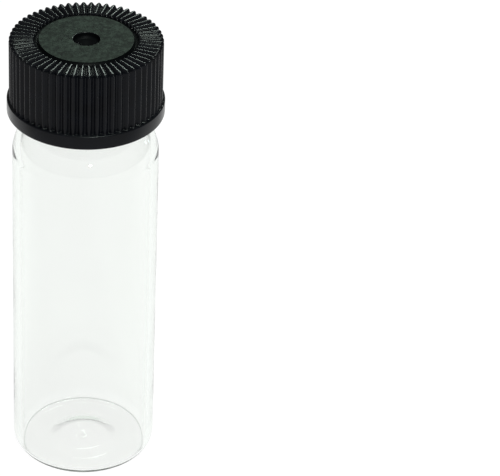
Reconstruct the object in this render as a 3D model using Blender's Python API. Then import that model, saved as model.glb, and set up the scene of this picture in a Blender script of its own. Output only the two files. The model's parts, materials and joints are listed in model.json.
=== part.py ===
"""Screw-cap sample vial: a glass vial, a ribbed black cap and its liner disc.

Run in Blender 4.5.  Lengths below are millimetres; MM turns them into metres.
The origin is the centre of the base, +Z is up along the vial's axis, and the
cap is stored screwed down.
"""
import math

import bmesh
import bpy

MM = 0.001
TURN = 2.0 * math.pi

# Overall
BODY_RADIUS = 10.625
TOTAL_HEIGHT = 70.0
WALL = 1.2
GAP = 0.25                       # running gap between pieces that touch

# Glass body
FLOOR_HEIGHT = 1.0
CORNER_RADIUS = 2.3
INNER_CORNER_RADIUS = 0.6
PUSH_UP = 0.35                   # hollow under the base
PUSH_UP_RADIUS = 6.0
SHOULDER_START = 51.5
SHOULDER_RADIUS = 6.0
NECK_RADIUS = 7.75
NECK_FILLET = 0.8
GLASS_TOP = 66.6
LIP_RADIUS = 1.0
LIP_INNER_RADIUS = 0.6
MOUTH_RADIUS = 5.65

# Right-hand thread, 8 turns to the inch
PITCH = 3.175
THREAD_HEIGHT = 1.15
THREAD_HALF_WIDTH = 1.35
THREAD_START = 57.6              # crest height at +X
THREAD_TURNS = 2.25
THREAD_FADE = 0.1                # turns over which an end dies away

# Cap
CAP_HEIGHT = 11.7
FLANGE_RADIUS = 11.35
FLANGE_HEIGHT = 2.2
FLANGE_EDGE = 0.3                # bevel round the foot of the flange
FLANGE_TOP_EDGE = 0.15
RIB_COUNT = 60
RIB_CREST = 11.02
RIB_ROOT = 10.57
RIB_TOP_DEPTH = 0.36
TOP_EDGE_RADIUS = 0.4
TOP_EDGE_BREAK = 0.3             # where the edge bends, as a share of its radius
RIB_INNER_END = 7.65
DISC_RADIUS = 6.75
RIB_END_SLOPE = 0.1
GROOVE_DEPTH = 0.45
DISC_DROP = 0.08
DISC_BEVEL = 0.25
GATE_RADIUS = 1.9
GATE_DEPTH = 0.9
GATE_FLOOR_SHARE = 0.8           # floor radius of the dimple as a share of its rim radius
PANEL_THICKNESS = 2.0
BORE_RADIUS = 9.2
BORE_CHAMFER = 0.25
RIDGE_CREST_RADIUS = 8.35
RIDGE_CREST_HALF = 0.35
RIDGE_BASE_HALF = 0.8
RIDGE_LIFT = 0.2                 # ridge sits this far above the middle of the gap
RIDGE_FIRST_TURN = 0.25          # turns along the thread where the ridge starts
RIDGE_TURNS = 1.25

# Liner
LINER_RADIUS = 8.9
LINER_EDGE = 0.15

# Mesh density
COLUMNS = 60
THREAD_ROW_STEP = 0.49

CAP_BOTTOM = TOTAL_HEIGHT - CAP_HEIGHT
PANEL_UNDERSIDE = TOTAL_HEIGHT - PANEL_THICKNESS
LINER_BOTTOM = GLASS_TOP + GAP
LINER_TOP = PANEL_UNDERSIDE - GAP


def clear_scene():
    for old in list(bpy.data.objects):
        bpy.data.objects.remove(old, do_unlink=True)


def principled(name, colour, roughness, metallic=0.0, transmission=0.0, ior=1.5):
    material = bpy.data.materials.new(name)
    material.use_nodes = True
    shader = material.node_tree.nodes["Principled BSDF"]
    shader.inputs["Base Color"].default_value = (*colour, 1.0)
    shader.inputs["Roughness"].default_value = roughness
    shader.inputs["Metallic"].default_value = metallic
    shader.inputs["Transmission Weight"].default_value = transmission
    shader.inputs["IOR"].default_value = ior
    material.diffuse_color = (*colour, 1.0)
    return material


def arc(centre_r, centre_z, radius, start_deg, end_deg, steps):
    """Profile points (r, z) along an arc, both ends included."""
    points = []
    for i in range(steps + 1):
        angle = math.radians(start_deg + (end_deg - start_deg) * i / steps)
        points.append((centre_r + radius * math.cos(angle), centre_z + radius * math.sin(angle)))
    return points


def smooth(x):
    x = min(max(x, 0.0), 1.0)
    return x * x * (3.0 - 2.0 * x)


def spread(low, high, step):
    """Evenly spaced heights from low to high, about one step apart."""
    count = max(1, round((high - low) / step))
    return [low + (high - low) * i / count for i in range(count + 1)]


def helix_offset(theta, z, start_z):
    """Axial distance to the nearest turn of a helix, and how many turns along it is."""
    fraction = theta / TURN
    along = round((z - start_z) / PITCH - fraction) + fraction
    return z - (start_z + PITCH * along), along


def end_fade(along, first, turns):
    """1 along a thread, falling to 0 over THREAD_FADE beyond each end."""
    return smooth((along - first) / THREAD_FADE + 1.0) * smooth((first + turns - along) / THREAD_FADE + 1.0)


def ring(radius, z, columns):
    """Points of one ring; radius and z are numbers or functions of the column's angle."""
    points = []
    for i in range(columns):
        theta = TURN * i / columns
        r = radius(theta) if callable(radius) else radius
        height = z(theta) if callable(z) else z
        points.append((r * math.cos(theta), r * math.sin(theta), height))
    return points


def skin(bm, lower, upper):
    """Faces between two rings: equal counts, a pole, or one twice as fine as the other."""
    coarse, fine = (lower, upper) if len(lower) <= len(upper) else (upper, lower)
    n = len(fine)
    if len(coarse) == 1:
        for i in range(n):
            bm.faces.new((coarse[0], fine[i], fine[(i + 1) % n]))
    elif len(coarse) == n:
        for i in range(n):
            j = (i + 1) % n
            bm.faces.new((coarse[i], coarse[j], fine[j], fine[i]))
    else:
        for i in range(len(coarse)):
            a, b = coarse[i], coarse[(i + 1) % len(coarse)]
            f0, f1, f2 = fine[2 * i], fine[2 * i + 1], fine[(2 * i + 2) % n]
            bm.faces.new((a, f1, f0))
            bm.faces.new((a, b, f1))
            bm.faces.new((b, f2, f1))


def closed_body(name, rings, base_z, material):
    """One object from a chain of rings; its origin is on the axis at base_z."""
    bm = bmesh.new()
    loops = [[bm.verts.new((x * MM, y * MM, (z - base_z) * MM)) for x, y, z in points] for points in rings]
    for lower, upper in zip(loops, loops[1:]):
        skin(bm, lower, upper)
    bmesh.ops.recalc_face_normals(bm, faces=bm.faces)
    mesh = bpy.data.meshes.new(name)
    bm.to_mesh(mesh)
    bm.free()
    mesh.shade_smooth()
    mesh.set_sharp_from_angle(angle=math.radians(35.0))
    mesh.materials.append(material)
    body = bpy.data.objects.new(name, mesh)
    bpy.context.collection.objects.link(body)
    return body


def pole(z):
    return [(0.0, 0.0, z)]


def turned(profile, columns=COLUMNS):
    return [ring(r, z, columns) for r, z in profile]


def glass_thread_radius(z, least):
    """Radius of the neck at height z as a function of angle, never under least."""
    def radius(theta):
        offset, along = helix_offset(theta, z, THREAD_START)
        if abs(offset) >= THREAD_HALF_WIDTH:
            return least
        bump = THREAD_HEIGHT * math.cos(math.pi * offset / (2.0 * THREAD_HALF_WIDTH)) ** 2
        return max(least, NECK_RADIUS + bump * end_fade(along, 0.0, THREAD_TURNS))
    return radius


def shoulder_profile(shoulder_radius, neck_radius, shoulder_steps, fillet_steps):
    """The shoulder's arc and the fillet that takes it into the neck, from the body upwards."""
    centre = BODY_RADIUS - SHOULDER_RADIUS
    both = shoulder_radius + NECK_FILLET
    end_angle = math.acos((neck_radius + NECK_FILLET - centre) / both)
    fillet_z = SHOULDER_START + both * math.sin(end_angle)
    end_deg = math.degrees(end_angle)
    shoulder = arc(centre, SHOULDER_START, shoulder_radius, 0.0, end_deg, shoulder_steps)
    fillet = arc(neck_radius + NECK_FILLET, fillet_z, NECK_FILLET, 180.0 + end_deg, 180.0, fillet_steps)
    return shoulder, fillet[1:]


def make_glass_vial():
    corner_centre = BODY_RADIUS - CORNER_RADIUS
    base = [(PUSH_UP_RADIUS * 0.5, PUSH_UP * 0.75), (PUSH_UP_RADIUS, 0.0)]
    base += arc(corner_centre, CORNER_RADIUS, CORNER_RADIUS, -90.0, 0.0, 4)
    base.append((BODY_RADIUS, SHOULDER_START * 0.5))

    shoulder, fillet = shoulder_profile(SHOULDER_RADIUS, NECK_RADIUS, 7, 3)
    fillet_z = fillet[-1][1]

    thread_top = GLASS_TOP - LIP_RADIUS
    neck = [(NECK_RADIUS, z) for z in spread(fillet_z, thread_top, THREAD_ROW_STEP)[1:]]
    lip = arc(NECK_RADIUS - LIP_RADIUS, thread_top, LIP_RADIUS, 0.0, 90.0, 3)[1:]
    mouth = arc(MOUTH_RADIUS + LIP_INNER_RADIUS, GLASS_TOP - LIP_INNER_RADIUS, LIP_INNER_RADIUS, 90.0, 180.0, 2)

    # Inside, the shoulder keeps the wall's thickness and a fillet leads into the bore.
    inner_radius = BODY_RADIUS - WALL
    inner_shoulder, inner_fillet = shoulder_profile(SHOULDER_RADIUS - WALL, MOUTH_RADIUS, 6, 3)
    inside = inner_fillet[::-1] + inner_shoulder[::-1]
    inside.append((inner_radius, SHOULDER_START * 0.5))
    inside += arc(inner_radius - INNER_CORNER_RADIUS, FLOOR_HEIGHT + INNER_CORNER_RADIUS,
                  INNER_CORNER_RADIUS, 0.0, -90.0, 3)

    rings = [pole(PUSH_UP)] + turned(base + shoulder)
    rings += [ring(glass_thread_radius(z, r), z, COLUMNS) for r, z in fillet + neck]
    rings += turned(lip + mouth + inside) + [pole(FLOOR_HEIGHT)]
    material = principled("clear_glass", (0.93, 0.96, 0.94), 0.03, transmission=1.0)
    return closed_body("glass_vial", rings, 0.0, material)


def ridge_radius(z):
    """Bore radius at height z as a function of angle, with the cap's thread ridge."""
    start_z = THREAD_START + 0.5 * PITCH + RIDGE_LIFT

    def radius(theta):
        offset, along = helix_offset(theta, z, start_z)
        flank = (RIDGE_BASE_HALF - abs(offset)) / (RIDGE_BASE_HALF - RIDGE_CREST_HALF)
        height = (BORE_RADIUS - RIDGE_CREST_RADIUS) * min(max(flank, 0.0), 1.0)
        return BORE_RADIUS - height * end_fade(along, RIDGE_FIRST_TURN, RIDGE_TURNS)
    return radius


def rib_wave(crest, root):
    """Alternates between crest and root, one crest for each rib."""
    def value(theta):
        return root + (crest - root) * (0.5 + 0.5 * math.cos(RIB_COUNT * theta))
    return value


def make_screw_cap():
    fine = 2 * RIB_COUNT
    top = TOTAL_HEIGHT
    edge = TOP_EDGE_RADIUS
    bend = TOP_EDGE_BREAK * edge
    groove_z = top - GROOVE_DEPTH
    disc_z = top - DISC_DROP
    band_top = CAP_BOTTOM + FLANGE_HEIGHT

    bore = [ring(BORE_RADIUS, PANEL_UNDERSIDE, COLUMNS)]
    ridge_top = GLASS_TOP - LIP_RADIUS
    heights = spread(CAP_BOTTOM + 2.0 * BORE_CHAMFER, ridge_top, THREAD_ROW_STEP)
    bore += [ring(ridge_radius(z), z, COLUMNS) for z in reversed(heights)]
    bore.append(ring(BORE_RADIUS + BORE_CHAMFER, CAP_BOTTOM, COLUMNS))

    side = [ring(FLANGE_RADIUS - FLANGE_EDGE, CAP_BOTTOM, fine),
            ring(FLANGE_RADIUS, CAP_BOTTOM + FLANGE_EDGE, fine),
            ring(FLANGE_RADIUS, band_top - FLANGE_TOP_EDGE, fine),
            ring(rib_wave(RIB_CREST, RIB_ROOT), band_top, fine),
            ring(rib_wave(RIB_CREST, RIB_ROOT), top - edge, fine),
            ring(rib_wave(RIB_CREST - bend, RIB_ROOT - bend),
                 rib_wave(top - bend, top - bend - 0.5 * RIB_TOP_DEPTH), fine),
            ring(rib_wave(RIB_CREST - edge, RIB_ROOT - edge),
                 rib_wave(top, top - RIB_TOP_DEPTH), fine),
            ring(RIB_INNER_END, rib_wave(top, top - RIB_TOP_DEPTH), fine)]

    panel = turned([(RIB_INNER_END - RIB_END_SLOPE, groove_z), (DISC_RADIUS + DISC_BEVEL, groove_z),
                    (DISC_RADIUS, disc_z), (GATE_RADIUS, disc_z),
                    (GATE_RADIUS * GATE_FLOOR_SHARE, disc_z - GATE_DEPTH)])
    rings = [pole(PANEL_UNDERSIDE)] + bore + side + panel + [pole(disc_z - GATE_DEPTH)]
    material = principled("black_plastic", (0.012, 0.012, 0.014), 0.38)
    return closed_body("screw_cap", rings, CAP_BOTTOM, material)


def make_cap_liner():
    flat = LINER_RADIUS - LINER_EDGE
    profile = [(flat, LINER_BOTTOM), (LINER_RADIUS, LINER_BOTTOM + LINER_EDGE),
               (LINER_RADIUS, LINER_TOP - LINER_EDGE), (flat, LINER_TOP)]
    rings = [pole(LINER_BOTTOM)] + turned(profile) + [pole(LINER_TOP)]
    material = principled("liner_board", (0.12, 0.16, 0.13), 0.7)
    return closed_body("cap_liner", rings, LINER_BOTTOM, material)


def build():
    clear_scene()
    make_glass_vial()

    # The cap and its liner hang on one point of the screw axis.
    axis = bpy.data.objects.new("closure_axis", None)
    axis.location = (0.0, 0.0, CAP_BOTTOM * MM)
    bpy.context.collection.objects.link(axis)
    for piece, base_z in ((make_cap_liner(), LINER_BOTTOM), (make_screw_cap(), CAP_BOTTOM)):
        piece.parent = axis
        piece.location = (0.0, 0.0, (base_z - CAP_BOTTOM) * MM)


build()
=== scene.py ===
import json
import math

import bpy
from mathutils import Matrix, Vector


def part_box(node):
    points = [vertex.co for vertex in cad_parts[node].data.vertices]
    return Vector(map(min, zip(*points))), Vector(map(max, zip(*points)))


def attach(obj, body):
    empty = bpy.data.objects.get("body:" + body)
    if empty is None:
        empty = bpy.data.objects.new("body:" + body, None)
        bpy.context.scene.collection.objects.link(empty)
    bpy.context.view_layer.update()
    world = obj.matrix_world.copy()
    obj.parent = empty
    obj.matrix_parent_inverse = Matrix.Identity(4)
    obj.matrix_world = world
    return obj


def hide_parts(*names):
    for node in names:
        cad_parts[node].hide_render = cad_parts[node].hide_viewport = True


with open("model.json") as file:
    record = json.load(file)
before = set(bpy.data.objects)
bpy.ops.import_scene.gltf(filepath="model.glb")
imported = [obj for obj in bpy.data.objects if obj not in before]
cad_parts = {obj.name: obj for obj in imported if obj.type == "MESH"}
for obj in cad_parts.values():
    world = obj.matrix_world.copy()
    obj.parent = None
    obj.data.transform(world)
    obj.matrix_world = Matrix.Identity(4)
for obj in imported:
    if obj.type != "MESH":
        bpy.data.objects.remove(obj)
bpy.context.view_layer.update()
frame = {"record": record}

MM = 0.001
TURN = 2.0 * math.pi

# ---------------------------------------------------------------------------
# Sizes that come from the frame
# ---------------------------------------------------------------------------
glass_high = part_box("glass_vial")[1]
cap_low, cap_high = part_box("screw_cap")
liner_low, liner_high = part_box("cap_liner")

BODY_RADIUS = glass_high.x
GLASS_TOP = glass_high.z
CAP_BOTTOM = cap_low.z
TOTAL_HEIGHT = cap_high.z
FLANGE_RADIUS = cap_high.x
LINER_RADIUS = liner_high.x
LINER_BOTTOM = liner_low.z
LINER_TOP = liner_high.z
PITCH = frame["record"]["behaviour"]["couplings"][0]["ratio"] * TURN

# ---------------------------------------------------------------------------
# Camera: the photograph's viewing angle, long lens, vial left of the middle
# ---------------------------------------------------------------------------
CAMERA_PITCH = math.radians(32.85)
CAMERA_ROLL = math.radians(2.4)
CAMERA_DISTANCE = 0.4622
CAMERA_LENS_MM = 225.4
AXIS_RIGHT_OF_VIAL = 0.02438
AXIS_ABOVE_MIDDLE = 0.00111


def make_camera():
    forward = Vector((0.0, math.cos(CAMERA_PITCH), -math.sin(CAMERA_PITCH)))
    right = Vector((1.0, 0.0, 0.0))
    up = right.cross(forward)
    rolled_right = right * math.cos(CAMERA_ROLL) + up * math.sin(CAMERA_ROLL)
    rolled_up = up * math.cos(CAMERA_ROLL) - right * math.sin(CAMERA_ROLL)
    middle = Vector((0.0, 0.0, TOTAL_HEIGHT / 2.0))
    place = (middle + rolled_right * AXIS_RIGHT_OF_VIAL + rolled_up * AXIS_ABOVE_MIDDLE
             - forward * CAMERA_DISTANCE)
    data = bpy.data.cameras.new("camera")
    data.lens = CAMERA_LENS_MM
    data.sensor_width = 36.0
    data.clip_start = 0.01
    data.clip_end = 20.0
    camera = bpy.data.objects.new("camera", data)
    columns = (rolled_right, rolled_up, -forward)
    rotation = Matrix([[columns[c][r] for c in range(3)] for r in range(3)]).to_4x4()
    camera.matrix_world = Matrix.Translation(place) @ rotation
    bpy.context.scene.collection.objects.link(camera)
    bpy.context.scene.camera = camera


make_camera()


# ---------------------------------------------------------------------------
# Mesh tools
# ---------------------------------------------------------------------------
def smooth(x):
    x = min(max(x, 0.0), 1.0)
    return x * x * (3.0 - 2.0 * x)


def lerp(a, b, t):
    return a + (b - a) * t


def arc(centre_r, centre_z, radius, start_deg, end_deg, steps):
    """Profile points (r, z) along an arc, both ends included."""
    points = []
    for i in range(steps + 1):
        angle = math.radians(lerp(start_deg, end_deg, i / steps))
        points.append((centre_r + radius * math.cos(angle), centre_z + radius * math.sin(angle)))
    return points


def line(start, end, steps):
    """Profile points after start, up to end."""
    return [(lerp(start[0], end[0], i / steps), lerp(start[1], end[1], i / steps))
            for i in range(1, steps + 1)]


def ring(angles, radius, z):
    """Points round the axis; radius and z are numbers or functions of the angle."""
    points = []
    for theta in angles:
        r = radius(theta) if callable(radius) else radius
        height = z(theta) if callable(z) else z
        points.append((r * math.cos(theta), r * math.sin(theta), height))
    return points


def even_angles(count):
    return [TURN * i / count for i in range(count)]


def stitch(first, second):
    """Faces between two rings of vertex numbers, each a pole, equal or unequal in count."""
    n, m = len(first), len(second)
    if n == 1:
        return [(first[0], second[(i + 1) % m], second[i]) for i in range(m)]
    if m == 1:
        return [(first[i], first[(i + 1) % n], second[0]) for i in range(n)]
    if n == m:
        return [(first[i], first[(i + 1) % n], second[(i + 1) % n], second[i]) for i in range(n)]
    faces = []
    i = j = 0
    while i < n or j < m:
        if j == m or (i < n and (i + 1) * m <= (j + 1) * n):
            faces.append((first[i % n], first[(i + 1) % n], second[j % m]))
            i += 1
        else:
            faces.append((first[i % n], second[(j + 1) % m], second[j % m]))
            j += 1
    return faces


def turned_body(name, rings, body, node, materials, sharp_deg=40.0):
    """A closed piece from (ring, material number) pairs; it rides on body in node's place."""
    vertices, faces, face_materials = [], [], []
    previous = None
    for points, material in rings:
        numbers = list(range(len(vertices), len(vertices) + len(points)))
        vertices.extend(points)
        if previous is not None:
            strip = stitch(previous, numbers)
            faces.extend(strip)
            face_materials.extend([material] * len(strip))
        previous = numbers
    mesh = bpy.data.meshes.new(name)
    mesh.from_pydata(vertices, [], faces)
    mesh.polygons.foreach_set("material_index", face_materials)
    mesh.shade_smooth()
    mesh.set_sharp_from_angle(angle=math.radians(sharp_deg))
    for material in materials:
        mesh.materials.append(material)
    piece = bpy.data.objects.new(name, mesh)
    bpy.context.scene.collection.objects.link(piece)
    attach(piece, body)
    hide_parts(node)
    return piece


def helix_offset(theta, z, start_z):
    """Axial distance to the nearest turn of a helix, and how many turns along it is."""
    fraction = theta / TURN
    along = round((z - start_z) / PITCH - fraction) + fraction
    return z - (start_z + PITCH * along), along


def end_fade(along, first, turns, fade):
    return smooth((along - first) / fade + 1.0) * smooth((first + turns - along) / fade + 1.0)


# ---------------------------------------------------------------------------
# Material tools
# ---------------------------------------------------------------------------
class Nodes:
    """A node tree, with short calls for the nodes used below."""

    def __init__(self, tree):
        self.tree = tree
        coordinates = tree.nodes.new("ShaderNodeTexCoord")
        self.position = coordinates.outputs["Object"]

    def put(self, kind, **inputs):
        node = self.tree.nodes.new(kind)
        for key, value in inputs.items():
            socket = node.inputs[key.replace("_", " ")]
            if isinstance(value, bpy.types.NodeSocket):
                self.tree.links.new(value, socket)
            else:
                socket.default_value = value
        return node

    def stretched(self, scale):
        return self.put("ShaderNodeMapping", Vector=self.position, Scale=scale).outputs["Vector"]

    def noise(self, size, detail=3.0, roughness=0.55, vector=None):
        """Noise whose features are about size metres across."""
        node = self.put("ShaderNodeTexNoise", Vector=vector or self.position, Scale=1.0 / size,
                        Detail=detail, Roughness=roughness)
        return node.outputs["Fac"]

    def remap(self, value, low, high, from_low=0.3, from_high=0.7):
        node = self.put("ShaderNodeMapRange", Value=value, **{
            "From_Min": from_low, "From_Max": from_high, "To_Min": low, "To_Max": high})
        return node.outputs["Result"]

    def maths(self, operation, first, second, clamp=False):
        node = self.tree.nodes.new("ShaderNodeMath")
        node.operation = operation
        node.use_clamp = clamp
        for socket, value in zip(node.inputs, (first, second)):
            if isinstance(value, bpy.types.NodeSocket):
                self.tree.links.new(value, socket)
            else:
                socket.default_value = value
        return node.outputs["Value"]

    def times(self, first, second):
        return self.maths("MULTIPLY", first, second)

    def near(self, value, centre, half_width):
        """1 where value is at centre, falling to 0 half_width to either side of it."""
        away = self.maths("ABSOLUTE", self.maths("SUBTRACT", value, centre), 0.0)
        return self.remap(away, 1.0, 0.0, 0.0, half_width)

    def along(self, axis):
        """The position along X, Y or Z."""
        return self.put("ShaderNodeSeparateXYZ", Vector=self.position).outputs[axis]

    def axis_distance(self):
        node = self.put("ShaderNodeVectorMath", Vector=self.stretched((1.0, 1.0, 0.0)))
        node.operation = "LENGTH"
        return node.outputs["Value"]

    def mixed(self, factor, first, second):
        """first where factor is 0, turning to the plain colour second where it is 1."""
        node = self.tree.nodes.new("ShaderNodeMix")
        node.data_type = "RGBA"
        factor_socket, first_socket, second_socket = [s for s in node.inputs if s.enabled]
        self.tree.links.new(factor, factor_socket)
        self.tree.links.new(first, first_socket)
        second_socket.default_value = (*second, 1.0)
        return next(s for s in node.outputs if s.enabled)

    def blend(self, factor, first, second):
        """The number first where factor is 0, turning to second where it is 1."""
        return self.put("ShaderNodeMix", Factor=factor, A=first, B=second).outputs["Result"]

    def colours(self, value, stops):
        node = self.put("ShaderNodeValToRGB", Fac=value)
        elements = node.color_ramp.elements
        while len(elements) < len(stops):
            elements.new(0.5)
        for element, (at, colour) in zip(elements, stops):
            element.position = at
            element.color = (*colour, 1.0)
        return node.outputs["Color"]

    def bump(self, height, depth, strength=1.0, normal=None):
        inputs = {"Height": height, "Distance": depth, "Strength": strength}
        if normal is not None:
            inputs["Normal"] = normal
        return self.put("ShaderNodeBump", **inputs).outputs["Normal"]


class Surface(Nodes):
    """The node tree of a new material."""

    def __init__(self, name):
        self.material = bpy.data.materials.new(name)
        self.material.use_nodes = True
        super().__init__(self.material.node_tree)
        self.shader = self.tree.nodes["Principled BSDF"]
        self.output = self.tree.nodes["Material Output"]

    def drive(self, name, value):
        socket = self.shader.inputs[name]
        if isinstance(value, bpy.types.NodeSocket):
            self.tree.links.new(value, socket)
        else:
            socket.default_value = value


def glass_material():
    """Clear soda glass: green in the thick parts, draw lines in the wall, a painted shade line where the
    floor meets the wall, and a painted highlight at the heel.
    """
    n = Surface("clear_glass")
    n.drive("Transmission Weight", 1.0)
    n.drive("IOR", 1.51)
    tint = n.noise(18.0 * MM, detail=1.0)
    clear = n.colours(tint, [(0.35, (0.950, 0.948, 0.946)), (0.65, (0.960, 0.958, 0.956))])
    # Painted shade: a dark line in the glass's colour where the floor meets the wall.
    crease_shade = n.near(n.axis_distance(), CREASE_SHADE_RADIUS, CREASE_SHADE_HALF_WIDTH)
    crease_shade = n.times(crease_shade, n.remap(n.along("Z"), 0.0, 1.0, *CREASE_SHADE_STARTS))
    crease_shade = n.times(crease_shade, n.remap(n.along("Z"), 1.0, 0.0, *CREASE_SHADE_ENDS))
    # Painted highlight: the glass's colour turns white at the heel of the base corner.
    painted_heel_light = n.times(n.remap(n.axis_distance(), 0.0, 1.0, *HEEL_LIGHT_STARTS),
                   n.remap(n.along("Z"), 1.0, 0.0, *HEEL_LIGHT_ENDS))
    clear = n.mixed(painted_heel_light, clear, (1.0, 1.0, 1.0))
    n.drive("Base Color", n.mixed(crease_shade, clear, (0.30, 0.34, 0.31)))
    smears = n.noise(5.0 * MM, detail=4.0)
    n.drive("Roughness", n.remap(smears, 0.0, 0.018, 0.5, 0.75))
    draw_lines = n.noise(1.0, detail=2.0, vector=n.stretched((420.0, 420.0, 12.0)))
    waves = n.noise(9.0 * MM, detail=0.5)
    normal = n.bump(draw_lines, 0.004 * MM)
    n.drive("Normal", n.bump(waves, 0.02 * MM, normal=normal))
    absorption = n.put("ShaderNodeVolumeAbsorption", Color=(0.22, 0.76, 0.34, 1.0), Density=18.0)
    n.tree.links.new(absorption.outputs["Volume"], n.output.inputs["Volume"])
    return n.material


def cap_plastic_material():
    """Glossy black moulded plastic with faint flow marks and handling haze."""
    n = Surface("black_plastic")
    haze = n.noise(2.2 * MM, detail=5.0)
    n.drive("Base Color", n.colours(haze, [(0.3, (0.0030, 0.0033, 0.0046)), (0.7, (0.0048, 0.0055, 0.0084))]))
    n.drive("Roughness", n.remap(haze, 0.20, 0.29))
    n.drive("IOR", 1.5)
    n.drive("Specular IOR Level", 0.19)
    grain = n.noise(0.16 * MM, detail=2.0)
    n.drive("Normal", n.bump(grain, 0.0006 * MM))
    return n.material


def cap_disc_material():
    """The cap's centre disc: the same plastic with a matte, finely etched skin; its lighter grey-green colour
    is painted sheen, mottled at random.
    """
    n = Surface("etched_plastic_painted_sheen")
    blotches = n.noise(0.9 * MM, detail=8.0, roughness=0.9)
    # Painted sheen: these grey-green colours are far lighter than the cap's black plastic; the mottling is
    # random.
    n.drive("Base Color", n.colours(blotches, [(0.40, (0.003, 0.005, 0.004)), (0.48, (0.012, 0.018, 0.014)),
                                               (0.58, (0.041, 0.057, 0.046))]))
    n.drive("Roughness", n.remap(blotches, 0.55, 0.72))
    n.drive("Specular IOR Level", 0.10)
    etch = n.noise(0.22 * MM, detail=3.0, roughness=0.7)
    n.drive("Normal", n.bump(etch, 0.05 * MM))
    return n.material


def groove_material():
    """The smooth ring round the disc and the gate dimple: dull black, so that they stay dark, and a darker
    black than the cap's plastic as painted shade in these recesses.
    """
    n = Surface("dull_plastic_painted_shade")
    wear_and_shade = n.noise(0.8 * MM, detail=5.0, roughness=0.7)
    # Painted shade: both colours are darker than the cap's plastic; the variation between them is random.
    n.drive("Base Color", n.colours(wear_and_shade, [(0.3, (0.0016, 0.0020, 0.0026)), (0.7, (0.0034, 0.0040, 0.0048))]))
    n.drive("Roughness", n.remap(wear_and_shade, 0.38, 0.55))
    n.drive("Specular IOR Level", 0.08)
    n.drive("Normal", n.bump(wear_and_shade, 0.01 * MM))
    return n.material


def liner_material():
    """Grey-green liner board with a soft fibre grain."""
    n = Surface("liner_board")
    fibres = n.noise(0.9 * MM, detail=6.0, roughness=0.65)
    n.drive("Base Color", n.colours(fibres, [(0.3, (0.075, 0.110, 0.092)), (0.7, (0.115, 0.160, 0.132))]))
    n.drive("Roughness", n.remap(fibres, 0.55, 0.75))
    pile = n.noise(0.18 * MM, detail=3.0)
    n.drive("Normal", n.bump(pile, 0.03 * MM))
    return n.material


# ---------------------------------------------------------------------------
# Glass vial
# ---------------------------------------------------------------------------
GLASS_COLUMNS = 256
WALL = 1.2 * MM
FLOOR_HEIGHT = 1.0 * MM
CORNER_RADIUS = 2.3 * MM
INNER_CORNER_RADIUS = 0.6 * MM
FLOOR_RINGS = 30
CREASE_SHADE_RADIUS = 9.12 * MM                 # the painted shade line where the floor meets the wall
CREASE_SHADE_HALF_WIDTH = 0.13 * MM
CREASE_SHADE_STARTS = (0.6 * FLOOR_HEIGHT, 0.9 * FLOOR_HEIGHT)      # heights from none to full
CREASE_SHADE_ENDS = (1.6 * FLOOR_HEIGHT, 1.9 * FLOOR_HEIGHT)        # heights from full to none
# Painted highlight at the heel: the glass's colour is white over these radii and heights.
HEEL_LIGHT_STARTS = (9.2 * MM, 9.7 * MM)              # radii from none to full
HEEL_LIGHT_ENDS = (1.2 * MM, 2.8 * MM)                # heights from full to none
PUSH_UP = 0.35 * MM
PUSH_UP_RADIUS = 6.0 * MM
PUSH_UP_EDGE = 2.8 * MM
PUSH_UP_RINGS = 8
SHOULDER_START = 51.5 * MM
SHOULDER_RADIUS = 6.0 * MM
NECK_RADIUS = 7.75 * MM
NECK_FILLET = 0.8 * MM
LIP_RADIUS = 1.0 * MM
LIP_INNER_RADIUS = 0.6 * MM
MOUTH_RADIUS = 5.65 * MM
THREAD_HEIGHT = 1.15 * MM
THREAD_HALF_WIDTH = 1.35 * MM
THREAD_START = 57.6 * MM
THREAD_TURNS = 2.25
THREAD_FADE = 0.1
THREAD_ROW = 0.14 * MM
NIB_RADIUS = 0.9 * MM
NIB_HEIGHT = 0.22 * MM
FLOOR_MARK_RADIUS = 2.6 * MM
FLOOR_MARK_WIDTH = 0.5 * MM
FLOOR_MARK_HEIGHT = 0.012 * MM


def glass_thread(z, least):
    """Radius of the neck at height z as a function of angle, never under least."""
    def radius(theta):
        offset, along = helix_offset(theta, z, THREAD_START)
        if abs(offset) >= THREAD_HALF_WIDTH:
            return least
        bump = THREAD_HEIGHT * math.cos(math.pi * offset / (2.0 * THREAD_HALF_WIDTH)) ** 2
        return max(least, NECK_RADIUS + bump * end_fade(along, 0.0, THREAD_TURNS, THREAD_FADE))
    return radius


def floor_relief(r):
    """Height of the inside floor above its flat: a central nib and a faint ring round it."""
    nib = NIB_HEIGHT * math.exp(-(r / NIB_RADIUS) ** 2 * 2.0)
    mark = FLOOR_MARK_HEIGHT * math.exp(-((r - FLOOR_MARK_RADIUS) / FLOOR_MARK_WIDTH) ** 2)
    return nib + mark


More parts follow.
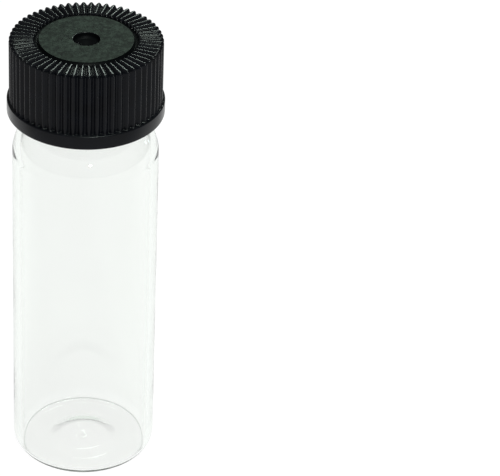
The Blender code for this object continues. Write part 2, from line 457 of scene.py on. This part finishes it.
def make_glass():
    angles = even_angles(GLASS_COLUMNS)
    corner_centre = BODY_RADIUS - CORNER_RADIUS
    outer = line((0.0, PUSH_UP), (PUSH_UP_RADIUS - PUSH_UP_EDGE, PUSH_UP), 3)
    for i in range(1, PUSH_UP_RINGS + 1):
        outwards = i / PUSH_UP_RINGS
        outer.append((PUSH_UP_RADIUS - PUSH_UP_EDGE * (1.0 - outwards), PUSH_UP * (1.0 - smooth(outwards))))
    outer += arc(corner_centre, CORNER_RADIUS, CORNER_RADIUS, -90.0, 0.0, 14)
    outer += line((BODY_RADIUS, CORNER_RADIUS), (BODY_RADIUS, SHOULDER_START), 10)

    shoulder_centre = BODY_RADIUS - SHOULDER_RADIUS
    reach = NECK_RADIUS + NECK_FILLET - shoulder_centre
    end_deg = math.degrees(math.acos(reach / (SHOULDER_RADIUS + NECK_FILLET)))
    fillet_z = SHOULDER_START + (SHOULDER_RADIUS + NECK_FILLET) * math.sin(math.radians(end_deg))
    outer += arc(shoulder_centre, SHOULDER_START, SHOULDER_RADIUS, 0.0, end_deg, 18)[1:]
    fillet = arc(NECK_RADIUS + NECK_FILLET, fillet_z, NECK_FILLET, 180.0 + end_deg, 180.0, 8)[1:]

    thread_top = GLASS_TOP - LIP_RADIUS
    neck_rows = round((thread_top - fillet_z) / THREAD_ROW)
    neck = line((NECK_RADIUS, fillet_z), (NECK_RADIUS, thread_top), neck_rows)
    lip = arc(NECK_RADIUS - LIP_RADIUS, thread_top, LIP_RADIUS, 0.0, 90.0, 10)[1:]
    lip += arc(MOUTH_RADIUS + LIP_INNER_RADIUS, GLASS_TOP - LIP_INNER_RADIUS, LIP_INNER_RADIUS,
               90.0, 180.0, 7)

    # Inside: the shoulder keeps the wall's thickness, then a fillet leads into the bore.
    inner_shoulder = SHOULDER_RADIUS - WALL
    inner_reach = MOUTH_RADIUS + NECK_FILLET - shoulder_centre
    inner_deg = math.degrees(math.acos(inner_reach / (inner_shoulder + NECK_FILLET)))
    bore_end = SHOULDER_START + (inner_shoulder + NECK_FILLET) * math.sin(math.radians(inner_deg))
    inner_radius = BODY_RADIUS - WALL
    inside = line(lip[-1], (MOUTH_RADIUS, bore_end), 12)
    inside += arc(MOUTH_RADIUS + NECK_FILLET, bore_end, NECK_FILLET, 180.0, 180.0 + inner_deg, 8)[1:]
    inside += arc(shoulder_centre, SHOULDER_START, inner_shoulder, inner_deg, 0.0, 18)[1:]
    inner_corner_z = FLOOR_HEIGHT + INNER_CORNER_RADIUS
    inside += line((inner_radius, SHOULDER_START), (inner_radius, inner_corner_z), 10)
    flat = inner_radius - INNER_CORNER_RADIUS
    inside += arc(flat, inner_corner_z, INNER_CORNER_RADIUS, 0.0, -90.0, 12)[1:]
    for i in range(1, FLOOR_RINGS):
        r = flat * (1.0 - i / FLOOR_RINGS)
        inside.append((r, FLOOR_HEIGHT + floor_relief(r)))

    rings = [([(0.0, 0.0, PUSH_UP)], 0)]
    rings += [(ring(angles, r, z), 0) for r, z in outer]
    rings += [(ring(angles, glass_thread(z, r), z), 0) for r, z in fillet + neck]
    rings += [(ring(angles, r, z), 0) for r, z in lip + inside]
    rings += [([(0.0, 0.0, FLOOR_HEIGHT + floor_relief(0.0))], 0)]
    turned_body("vial_glass", rings, "vial", "glass_vial", [glass_material()])


# ---------------------------------------------------------------------------
# Screw cap
# ---------------------------------------------------------------------------
FLANGE_HEIGHT = 2.2 * MM
FLANGE_EDGE = 0.3 * MM
FLANGE_TOP_EDGE = 0.16 * MM
RIB_COUNT = 60
RIB_CREST = 11.02 * MM
RIB_ROOT = 10.57 * MM
RIB_TOP_DEPTH = 0.36 * MM
SIDE_POWER = 1.6                 # rib shape on the side and on the top
TOP_POWER = 0.85
SIDE_ROWS = 8
EDGE_ROWS = 9
TOP_ROWS = 8
END_ROWS = 6
RIB_FOOT_HEIGHT = 0.2 * MM
# Rows that blend the ribs into the flange: height over it, extra crest and root radius
RIB_FOOT = ((0.02 * MM, 0.03 * MM, 0.12 * MM), (0.09 * MM, 0.0, 0.03 * MM))
TOP_EDGE_RADIUS = 0.4 * MM
RIB_INNER_END = 7.65 * MM
RIB_END_RADIUS = 0.22 * MM
GROOVE_STEP = 0.04 * MM          # from the ribs' ends to the groove's floor
DISC_RADIUS = 6.75 * MM
GROOVE_DEPTH = 0.45 * MM
GROOVE_DISH = 0.15 * MM
DISC_DROP = 0.08 * MM
DISC_BEVEL = 0.22 * MM
DISC_FOOT = 0.03 * MM
DISC_ROWS = 5
GATE_RADIUS = 1.9 * MM
GATE_DEPTH = 0.9 * MM
GATE_RIM = 0.1 * MM
GATE_CORNER = 0.5 * MM
GATE_CONE_RADIUS = 0.7 * MM      # the well's floor dips below its depth, here and at the middle
GATE_CONE_DIP = 0.25 * MM
GATE_MIDDLE_DIP = 0.6 * MM
PANEL_THICKNESS = 2.0 * MM
PANEL_FILLET = 0.3 * MM
BORE_RADIUS = 9.2 * MM
BORE_CHAMFER = 0.25 * MM
BORE_COLUMNS = 240
RIDGE_CREST_RADIUS = 8.35 * MM
RIDGE_CREST_HALF = 0.35 * MM
RIDGE_BASE_HALF = 0.8 * MM
RIDGE_LIFT = 0.2 * MM
RIDGE_FIRST_TURN = 0.25
RIDGE_TURNS = 1.25
RIB_PHASES = tuple(i / 16.0 - 0.5 for i in range(16))


def between(crest, root, power):
    """A value that swings from root to crest with the ribs; a low power narrows the flutes."""
    def value(theta):
        phase = theta / TURN * RIB_COUNT
        phase -= round(phase)
        return lerp(root, crest, math.cos(math.pi * phase) ** power)
    return value


def ridge_radius(z):
    start_z = THREAD_START + 0.5 * PITCH + RIDGE_LIFT

    def radius(theta):
        offset, along = helix_offset(theta, z, start_z)
        flank = (RIDGE_BASE_HALF - abs(offset)) / (RIDGE_BASE_HALF - RIDGE_CREST_HALF)
        height = (BORE_RADIUS - RIDGE_CREST_RADIUS) * smooth(flank)
        return BORE_RADIUS - height * end_fade(along, RIDGE_FIRST_TURN, RIDGE_TURNS, THREAD_FADE)
    return radius


def make_cap():
    coarse = even_angles(BORE_COLUMNS)
    fine = [TURN * (rib + phase) / RIB_COUNT for rib in range(RIB_COUNT) for phase in RIB_PHASES]
    gloss, matte, dull = 0, 1, 2
    top = TOTAL_HEIGHT
    underside = top - PANEL_THICKNESS
    rings = [([(0.0, 0.0, underside)], gloss)]
    panel_edge = BORE_RADIUS - PANEL_FILLET
    rings += [(ring(coarse, r, underside), gloss) for r in (0.5 * BORE_RADIUS, panel_edge)]
    fillet = arc(panel_edge, underside - PANEL_FILLET, PANEL_FILLET, 0.0, 90.0, 5)[:-1]
    rings += [(ring(coarse, r, z), gloss) for r, z in reversed(fillet)]

    ridge_top = GLASS_TOP - LIP_RADIUS
    ridge_low = CAP_BOTTOM + 2.0 * BORE_CHAMFER
    steps = round((ridge_top - ridge_low) / THREAD_ROW)
    for i in range(steps + 1):
        z = lerp(ridge_top, ridge_low, i / steps)
        rings.append((ring(coarse, ridge_radius(z), z), gloss))
    mouth = arc(BORE_RADIUS + BORE_CHAMFER, CAP_BOTTOM + BORE_CHAMFER, BORE_CHAMFER, 180.0, 270.0, 5)
    rings += [(ring(coarse, r, z), gloss) for r, z in mouth]

    # Flange band
    band_top = CAP_BOTTOM + FLANGE_HEIGHT
    band = arc(FLANGE_RADIUS - FLANGE_EDGE, CAP_BOTTOM + FLANGE_EDGE, FLANGE_EDGE, -90.0, 0.0, 6)
    band += arc(FLANGE_RADIUS - FLANGE_TOP_EDGE, band_top - FLANGE_TOP_EDGE, FLANGE_TOP_EDGE, 0.0, 80.0, 6)
    rings += [(ring(fine, r, z), gloss) for r, z in band]

    # Ribs: each row goes from the crest's path to the flute's path
    for lift, crest_extra, root_extra in RIB_FOOT:
        radius = between(RIB_CREST + crest_extra, RIB_ROOT + root_extra, SIDE_POWER)
        rings.append((ring(fine, radius, band_top + lift), gloss))
    for i in range(SIDE_ROWS):
        z = lerp(band_top + RIB_FOOT_HEIGHT, top - TOP_EDGE_RADIUS, i / (SIDE_ROWS - 1))
        rings.append((ring(fine, between(RIB_CREST, RIB_ROOT, SIDE_POWER), z), gloss))
    edge = TOP_EDGE_RADIUS
    crest_edge = arc(RIB_CREST - edge, top - edge, edge, 0.0, 90.0, EDGE_ROWS)[1:]
    root_edge = arc(RIB_ROOT - edge, top - edge - RIB_TOP_DEPTH, edge, 0.0, 90.0, EDGE_ROWS)[1:]
    for i, ((crest_r, crest_z), (root_r, root_z)) in enumerate(zip(crest_edge, root_edge)):
        power = lerp(SIDE_POWER, TOP_POWER, (i + 1) / EDGE_ROWS)
        rings.append((ring(fine, between(crest_r, root_r, power), between(crest_z, root_z, power)), gloss))
    top_height = between(top, top - RIB_TOP_DEPTH, TOP_POWER)
    for i in range(1, TOP_ROWS + 1):
        crest_r = lerp(RIB_CREST - edge, RIB_INNER_END, i / TOP_ROWS)
        root_r = lerp(RIB_ROOT - edge, RIB_INNER_END, i / TOP_ROWS)
        rings.append((ring(fine, between(crest_r, root_r, TOP_POWER), top_height), gloss))

    # Rounded inner ends of the ribs, down to the smooth groove
    groove_z = top - GROOVE_DEPTH
    for i in range(1, END_ROWS + 1):
        angle = math.radians(90.0 * i / END_ROWS)
        r = RIB_INNER_END - RIB_END_RADIUS * math.sin(angle)
        crest_z = top - RIB_END_RADIUS + RIB_END_RADIUS * math.cos(angle)
        low_z = lerp(top - RIB_TOP_DEPTH, groove_z, i / END_ROWS)
        rings.append((ring(fine, r, between(max(crest_z, low_z), low_z, TOP_POWER)), gloss))
    rings.append((ring(fine, RIB_INNER_END - RIB_END_RADIUS - GROOVE_STEP, groove_z), dull))

    # Groove, bevelled disc and the gate dimple in its middle
    disc_z = top - DISC_DROP
    foot = DISC_RADIUS + DISC_BEVEL
    foot_z = groove_z - GROOVE_DISH
    rings.append((ring(coarse, foot + DISC_FOOT, foot_z), dull))
    for i in range(1, DISC_ROWS + 1):
        r = lerp(foot, DISC_RADIUS, smooth(i / DISC_ROWS))
        rings.append((ring(coarse, r, lerp(foot_z, disc_z, i / DISC_ROWS)), dull))
    disc_radii = (DISC_RADIUS - 0.08 * MM, 4.5 * MM, GATE_RADIUS + GATE_RIM)
    rings += [(ring(coarse, r, disc_z), matte) for r in disc_radii]
    gate_z = disc_z - GATE_DEPTH
    rim = arc(GATE_RADIUS + GATE_RIM, disc_z - GATE_RIM, GATE_RIM, 90.0, 180.0, 4)[1:]
    well = arc(GATE_RADIUS - GATE_CORNER, gate_z + GATE_CORNER, GATE_CORNER, 0.0, -90.0, 6)
    rings += [(ring(coarse, r, z), gloss) for r, z in rim]
    rings += [(ring(coarse, r, z), dull) for r, z in well]
    rings.append((ring(coarse, GATE_CONE_RADIUS, gate_z - GATE_CONE_DIP), dull))
    rings.append(([(0.0, 0.0, gate_z - GATE_MIDDLE_DIP)], dull))
    turned_body("cap_moulding", rings, "cap", "screw_cap",
                [cap_plastic_material(), cap_disc_material(), groove_material()], sharp_deg=60.0)


# ---------------------------------------------------------------------------
# Liner
# ---------------------------------------------------------------------------
LINER_COLUMNS = 180
LINER_RINGS = 40
LINER_EDGE = 0.15 * MM
SEAT_RADIUS = 6.6 * MM           # where the glass lip presses its ring
SEAT_WIDTH = 0.8 * MM
SEAT_DEPTH = 0.07 * MM


def make_liner():
    angles = even_angles(LINER_COLUMNS)
    edge = LINER_EDGE
    profile = []
    for i in range(1, LINER_RINGS + 1):
        r = (LINER_RADIUS - edge) * i / LINER_RINGS
        dent = SEAT_DEPTH * math.exp(-((r - SEAT_RADIUS) / SEAT_WIDTH) ** 2)
        profile.append((r, LINER_BOTTOM + dent))
    profile += arc(LINER_RADIUS - edge, LINER_BOTTOM + edge, edge, -90.0, 0.0, 5)[1:]
    profile += arc(LINER_RADIUS - edge, LINER_TOP - edge, edge, 0.0, 90.0, 5)
    rings = [([(0.0, 0.0, LINER_BOTTOM)], 0)]
    rings += [(ring(angles, r, z), 0) for r, z in profile]
    rings.append(([(0.0, 0.0, LINER_TOP)], 0))
    turned_body("liner_disc", rings, "liner", "cap_liner", [liner_material()])


make_glass()
make_cap()
make_liner()


# ---------------------------------------------------------------------------
# Floor, world and studio lights
# ---------------------------------------------------------------------------
FLOOR_HALF = 2.5
FLOOR_DROP = 0.02 * MM           # just under the glass, so that no faces share a plane
TABLE_BRIGHT_RADIUS = 0.25       # the light table is evenly bright out to here
TABLE_DARK_RADIUS = 0.60
TABLE_GLOW = 0.97
TABLE_FAR_GLOW = 0.55
TABLE_IN_REFLECTIONS = (0.46, 0.90)              # in front of the vial and behind it
TABLE_GRADED_OVER = (-30.0 * MM, 10.0 * MM)
HORIZON_LIGHT = 0.05
ZENITH_LIGHT = 0.30
HORIZON_TO_ZENITH = (0.2, 0.95)                  # sines of the elevations where each is reached
BACKDROP = 0.92
ROOM_THROUGH_GLASS = 0.85


def make_floor():
    """A backlit white table: evenly white to the camera, dimmer far away and in reflections."""
    mesh = bpy.data.meshes.new("floor")
    corners = [(-1, -1), (1, -1), (1, 1), (-1, 1)]
    mesh.from_pydata([(x * FLOOR_HALF, y * FLOOR_HALF, -FLOOR_DROP) for x, y in corners], [], [(0, 1, 2, 3)])
    floor = bpy.data.objects.new("floor", mesh)
    bpy.context.scene.collection.objects.link(floor)
    n = Surface("light_table")
    paper = n.noise(30.0 * MM, detail=2.0)
    n.drive("Base Color", n.colours(paper, [(0.3, (0.12, 0.12, 0.12)), (0.7, (0.13, 0.13, 0.13))]))
    n.drive("Roughness", 1.0)
    n.drive("Specular IOR Level", 0.0)
    n.drive("Emission Color", (1.0, 1.0, 1.0, 1.0))
    glow = n.remap(n.axis_distance(), TABLE_GLOW, TABLE_FAR_GLOW, TABLE_BRIGHT_RADIUS, TABLE_DARK_RADIUS)
    path = n.put("ShaderNodeLightPath").outputs
    # A ray that came through glass counts as glossy too, so those are taken off.
    mirrored = n.maths("SUBTRACT", path["Is Glossy Ray"], path["Is Transmission Ray"], clamp=True)
    graded = n.remap(n.along("Y"), *TABLE_IN_REFLECTIONS, *TABLE_GRADED_OVER)
    glow = n.blend(mirrored, glow, graded)
    n.drive("Emission Strength", n.blend(path["Is Camera Ray"], glow, TABLE_GLOW))
    mesh.materials.append(n.material)


def make_world():
    """A pale backdrop for the camera and through glass; in reflections light comes from above."""
    world = bpy.data.worlds.new("studio")
    bpy.context.scene.world = world
    world.use_nodes = True
    n = Nodes(world.node_tree)
    direction = n.put("ShaderNodeTexCoord").outputs["Generated"]
    up = n.put("ShaderNodeSeparateXYZ", Vector=direction).outputs["Z"]
    overhead = n.put("ShaderNodeMapRange", Value=up, From_Min=HORIZON_TO_ZENITH[0],
                     From_Max=HORIZON_TO_ZENITH[1], To_Min=HORIZON_LIGHT, To_Max=ZENITH_LIGHT)
    overhead.interpolation_type = "SMOOTHSTEP"
    path = n.put("ShaderNodeLightPath").outputs
    light = n.blend(path["Is Transmission Ray"], overhead.outputs["Result"], ROOM_THROUGH_GLASS)
    light = n.blend(path["Is Camera Ray"], light, BACKDROP)
    background = n.tree.nodes["Background"]
    background.inputs["Color"].default_value = (1.0, 1.0, 1.0, 1.0)
    n.tree.links.new(light, background.inputs["Strength"])


def area_light(name, place, target, width, height, power, colour):
    data = bpy.data.lights.new(name, "AREA")
    data.shape = "RECTANGLE"
    data.size = width
    data.size_y = height
    data.energy = power
    data.color = colour
    light = bpy.data.objects.new(name, data)
    light.location = place
    light.rotation_euler = (Vector(target) - Vector(place)).to_track_quat("-Z", "Y").to_euler()
    light.visible_camera = False
    bpy.context.scene.collection.objects.link(light)


make_floor()
make_world()
middle = (0.0, 0.0, TOTAL_HEIGHT / 2.0)
cap_top = (0.0, 0.0, TOTAL_HEIGHT)
area_light("overhead_softbox", (0.13, -0.12, 0.80), middle, 0.22, 0.16, 2.0, (0.86, 1.0, 0.90))
area_light("rear_strip", (0.006, 0.105, 0.138), cap_top, 0.05, 0.012, 0.045, (0.84, 1.0, 0.90))
area_light("front_key", (0.12, -0.55, 0.42), middle, 0.04, 0.03, 1.4, (0.92, 1.0, 0.95))
area_light("right_strip", (0.55, 0.45, 0.10), middle, 0.04, 0.06, 0.034, (0.74, 1.0, 0.97))

bpy.context.scene.view_settings.view_transform = "Standard"
